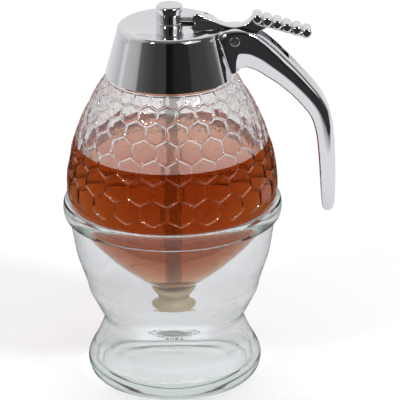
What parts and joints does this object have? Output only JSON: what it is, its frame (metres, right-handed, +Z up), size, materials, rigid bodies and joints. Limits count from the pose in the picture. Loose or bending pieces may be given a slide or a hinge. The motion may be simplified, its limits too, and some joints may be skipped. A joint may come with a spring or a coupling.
{
  "type": "honey dispenser",
  "caption": "Egg-shaped honeycomb glass jar with a screw cap, side handle and thumb lever that opens a bottom outlet, standing in a waisted glass holder.",
  "frame": {"origin": "centre of the glass stand's foot, on the table", "axes": "+Z up along the axis of the stand and jar, +X towards the handle, +Y away from the front view"},
  "size_m": [0.1056, 0.0848, 0.1514],
  "materials": {
    "stand_glass": "clear pressed glass, polished, with a faint green-grey tint",
    "jar_glass": "clear pressed glass with a raised honeycomb",
    "chrome": "bright chrome plate over a zinc casting",
    "steel": "stainless steel, turned",
    "spring_steel": "drawn spring wire",
    "nozzle": "soft beige silicone",
    "stopper": "dark brown silicone",
    "seal": "white silicone",
    "o_ring": "black rubber",
    "liner": "natural white plastic"
  },
  "bodies": {
    "stand": {"glass_stand": "stand_glass"},
    "jar": {"glass_jar": "jar_glass", "outlet_nozzle": "nozzle"},
    "seal": {"cap_gasket": "seal"},
    "cap": {"cap_shell": "chrome", "thread_liner": "liner", "guide_collar": "chrome", "guide_nut": "steel", "rod_seal": "o_ring", "lever_pin": "steel", "return_spring": "spring_steel"},
    "rod": {"valve_rod": "steel", "lift_knob": "chrome", "spring_seat": "steel", "retaining_clip": "steel", "valve_stopper": "stopper", "stopper_screw": "steel"},
    "lever": {"thumb_lever": "chrome"}
  },
  "joints": [
    {"name": "jar_lift", "type": "slide", "parent": "stand", "child": "jar", "axis": [0, 0, 1], "range_m": [0, 0.06]},
    {"name": "cap_rise", "type": "slide", "parent": "jar", "child": "seal", "axis": [0, 0, 1], "range_m": [0, 0.00401]},
    {"name": "cap_turn", "type": "hinge", "parent": "seal", "child": "cap", "pos_m": [0, 0, 0.13], "axis": [0, 0, 1], "range_deg": [0, 360]},
    {"name": "lever_press", "type": "hinge", "parent": "cap", "child": "lever", "pos_m": [0.0247, 0, 0.1381], "axis": [0, 1, 0], "range_deg": [0, 15], "stiffness_Nm_per_rad": 0.445, "springref_deg": -9.4},
    {"name": "rod_lift", "type": "slide", "parent": "cap", "child": "rod", "axis": [0, 0, 1], "range_m": [0, 0.0064], "deforming": ["return_spring"]}
  ],
  "couplings": [
    {"joint": "cap_rise", "follows": "cap_turn", "m_per_rad": 0.00063662},
    {"joint": "rod_lift", "follows": "lever_press", "m_per_rad": 0.02444}
  ]
}
